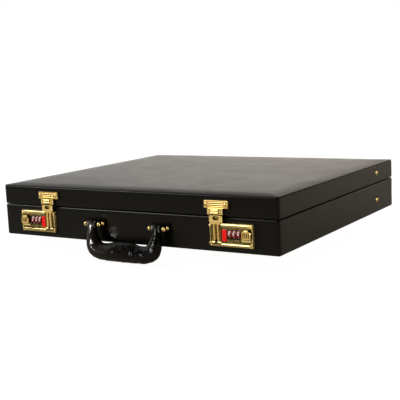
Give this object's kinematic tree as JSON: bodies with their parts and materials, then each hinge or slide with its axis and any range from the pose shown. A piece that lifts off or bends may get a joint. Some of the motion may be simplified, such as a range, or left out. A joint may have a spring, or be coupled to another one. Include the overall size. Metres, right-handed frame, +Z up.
{
  "type": "poker chip case",
  "caption": "Hard attache-style case for poker chips: padded leatherette shells on a piano hinge, combination hasp locks, swinging padded handle, folding lid stays, and fitted chip trays.",
  "frame": {"origin": "centre of the base's flat bottom face, which the closed case rests on", "axes": "+X to the right seen from the front with the locks, +Y to the back with the hinge, +Z up out of the lid"},
  "size_m": [0.4622, 0.4404, 0.0976],
  "materials": {
    "leatherette": "semi-gloss black leatherette with a fine grain",
    "board": "raw board",
    "foam": "soft foam",
    "velvet": "short pile velvet, deep red",
    "tray_flock": "black flocked surface",
    "brass_hardware": "polished, lacquered gold-coloured brass plating",
    "lock_casting": "zinc die casting",
    "steel": "plain steel",
    "handle_leather": "glossy pebbled black leather",
    "bracket_black": "gloss black",
    "red_plastic": "glossy bright red",
    "wheel_plastic": "dark red-brown plastic with white numerals"
  },
  "bodies": {
    "base": {"base_leatherette": "leatherette", "base_frame": "board", "base_floor_panel": "board", "base_lining": "velvet", "chip_tray_left": "tray_flock", "chip_tray_right": "tray_flock", "accessory_tray": "tray_flock", "hinge_leaf_base": "brass_hardware", "hinge_pin": "brass_hardware", "hinge_screws_base": "brass_hardware", "stay_rivets_base": "brass_hardware", "handle_bracket_left": "bracket_black", "handle_bracket_right": "bracket_black", "bracket_rivets": "brass_hardware", "handle_pins": "steel", "handle_pin_caps": "brass_hardware", "lock_plate_left": "brass_hardware", "lock_plate_right": "brass_hardware", "lock_body_left": "lock_casting", "lock_body_right": "lock_casting", "lock_indicators": "red_plastic", "wheel_axles": "steel", "wheel_click_springs": "steel", "slide_spring_left": "steel", "slide_spring_right": "steel", "hasp_pins": "steel", "hasp_springs": "steel", "lock_screws": "brass_hardware"},
    "lid": {"lid_side_wrap": "leatherette", "lid_frame": "board", "lid_top_panel": "board", "lid_top_foam": "foam", "lid_top_cover": "leatherette", "lid_lining": "velvet", "lid_pad": "velvet", "hinge_leaf_lid": "brass_hardware", "hinge_screws_lid": "brass_hardware", "stay_rivets_lid": "brass_hardware", "keeper_left": "brass_hardware", "keeper_right": "brass_hardware", "keeper_screws": "brass_hardware"},
    "handle": {"handle_grip": "handle_leather", "handle_core": "steel"},
    "stay_lower_left": {"stay_lower_link_left": "brass_hardware", "stay_elbow_rivet_left": "brass_hardware"},
    "stay_upper_left": {"stay_upper_link_left": "brass_hardware"},
    "hasp_left": {"hasp_left": "brass_hardware"},
    "slide_button_left": {"slide_button_left": "brass_hardware"},
    "number_wheel_left_1": {"number_wheel_left_1": "wheel_plastic"},
    "number_wheel_left_2": {"number_wheel_left_2": "wheel_plastic"},
    "number_wheel_left_3": {"number_wheel_left_3": "wheel_plastic"},
    "stay_lower_right": {"stay_lower_link_right": "brass_hardware", "stay_elbow_rivet_right": "brass_hardware"},
    "stay_upper_right": {"stay_upper_link_right": "brass_hardware"},
    "hasp_right": {"hasp_right": "brass_hardware"},
    "slide_button_right": {"slide_button_right": "brass_hardware"},
    "number_wheel_right_1": {"number_wheel_right_1": "wheel_plastic"},
    "number_wheel_right_2": {"number_wheel_right_2": "wheel_plastic"},
    "number_wheel_right_3": {"number_wheel_right_3": "wheel_plastic"}
  },
  "joints": [
    {"name": "lid_hinge", "type": "hinge", "parent": "base", "child": "lid", "pos_m": [0, 0.2056, 0.0457], "axis": [-1, 0, 0], "range_deg": [0, 100]},
    {"name": "handle_swing", "type": "hinge", "parent": "base", "child": "handle", "pos_m": [0, -0.215, 0.0265], "axis": [-1, 0, 0], "range_deg": [-6.5, 165]},
    {"name": "stay_lower_left_pivot", "type": "hinge", "parent": "base", "child": "stay_lower_left", "pos_m": [-0.2173, 0.131, 0.0198], "axis": [-1, 0, 0], "range_deg": [0, 100.5]},
    {"name": "stay_upper_left_pivot", "type": "hinge", "parent": "lid", "child": "stay_upper_left", "pos_m": [-0.2154, 0.131, 0.0618], "axis": [-1, 0, 0], "range_deg": [-100.5, 0]},
    {"name": "hasp_left_pivot", "type": "hinge", "parent": "base", "child": "hasp_left", "pos_m": [-0.1407, -0.2059, 0.013], "axis": [1, 0, 0], "range_deg": [0, 75]},
    {"name": "slide_left_travel", "type": "slide", "parent": "base", "child": "slide_button_left", "axis": [-1, 0, 0], "range_m": [0, 0.0035], "stiffness_N_per_m": 150, "deforming": ["slide_spring_left"]},
    {"name": "number_wheel_left_1_spin", "type": "hinge", "parent": "base", "child": "number_wheel_left_1", "pos_m": [-0.1591, -0.2016, 0.0243], "axis": [1, 0, 0], "continuous": true},
    {"name": "number_wheel_left_2_spin", "type": "hinge", "parent": "base", "child": "number_wheel_left_2", "pos_m": [-0.1656, -0.2016, 0.0243], "axis": [1, 0, 0], "continuous": true},
    {"name": "number_wheel_left_3_spin", "type": "hinge", "parent": "base", "child": "number_wheel_left_3", "pos_m": [-0.1721, -0.2016, 0.0243], "axis": [1, 0, 0], "continuous": true},
    {"name": "stay_lower_right_pivot", "type": "hinge", "parent": "base", "child": "stay_lower_right", "pos_m": [0.2173, 0.131, 0.0198], "axis": [-1, 0, 0], "range_deg": [0, 100.5]},
    {"name": "stay_upper_right_pivot", "type": "hinge", "parent": "lid", "child": "stay_upper_right", "pos_m": [0.2154, 0.131, 0.0618], "axis": [-1, 0, 0], "range_deg": [-100.5, 0]},
    {"name": "hasp_right_pivot", "type": "hinge", "parent": "base", "child": "hasp_right", "pos_m": [0.1407, -0.2059, 0.013], "axis": [1, 0, 0], "range_deg": [0, 75]},
    {"name": "slide_right_travel", "type": "slide", "parent": "base", "child": "slide_button_right", "axis": [1, 0, 0], "range_m": [0, 0.0035], "stiffness_N_per_m": 150, "deforming": ["slide_spring_right"]},
    {"name": "number_wheel_right_1_spin", "type": "hinge", "parent": "base", "child": "number_wheel_right_1", "pos_m": [0.1591, -0.2016, 0.0243], "axis": [1, 0, 0], "continuous": true},
    {"name": "number_wheel_right_2_spin", "type": "hinge", "parent": "base", "child": "number_wheel_right_2", "pos_m": [0.1656, -0.2016, 0.0243], "axis": [1, 0, 0], "continuous": true},
    {"name": "number_wheel_right_3_spin", "type": "hinge", "parent": "base", "child": "number_wheel_right_3", "pos_m": [0.1721, -0.2016, 0.0243], "axis": [1, 0, 0], "continuous": true}
  ],
  "couplings": [
    {"joint": "stay_lower_left_pivot", "follows": "lid_hinge", "ratio": 1},
    {"joint": "stay_upper_left_pivot", "follows": "lid_hinge", "ratio": -1},
    {"joint": "stay_lower_right_pivot", "follows": "lid_hinge", "ratio": 1},
    {"joint": "stay_upper_right_pivot", "follows": "lid_hinge", "ratio": -1}
  ]
}
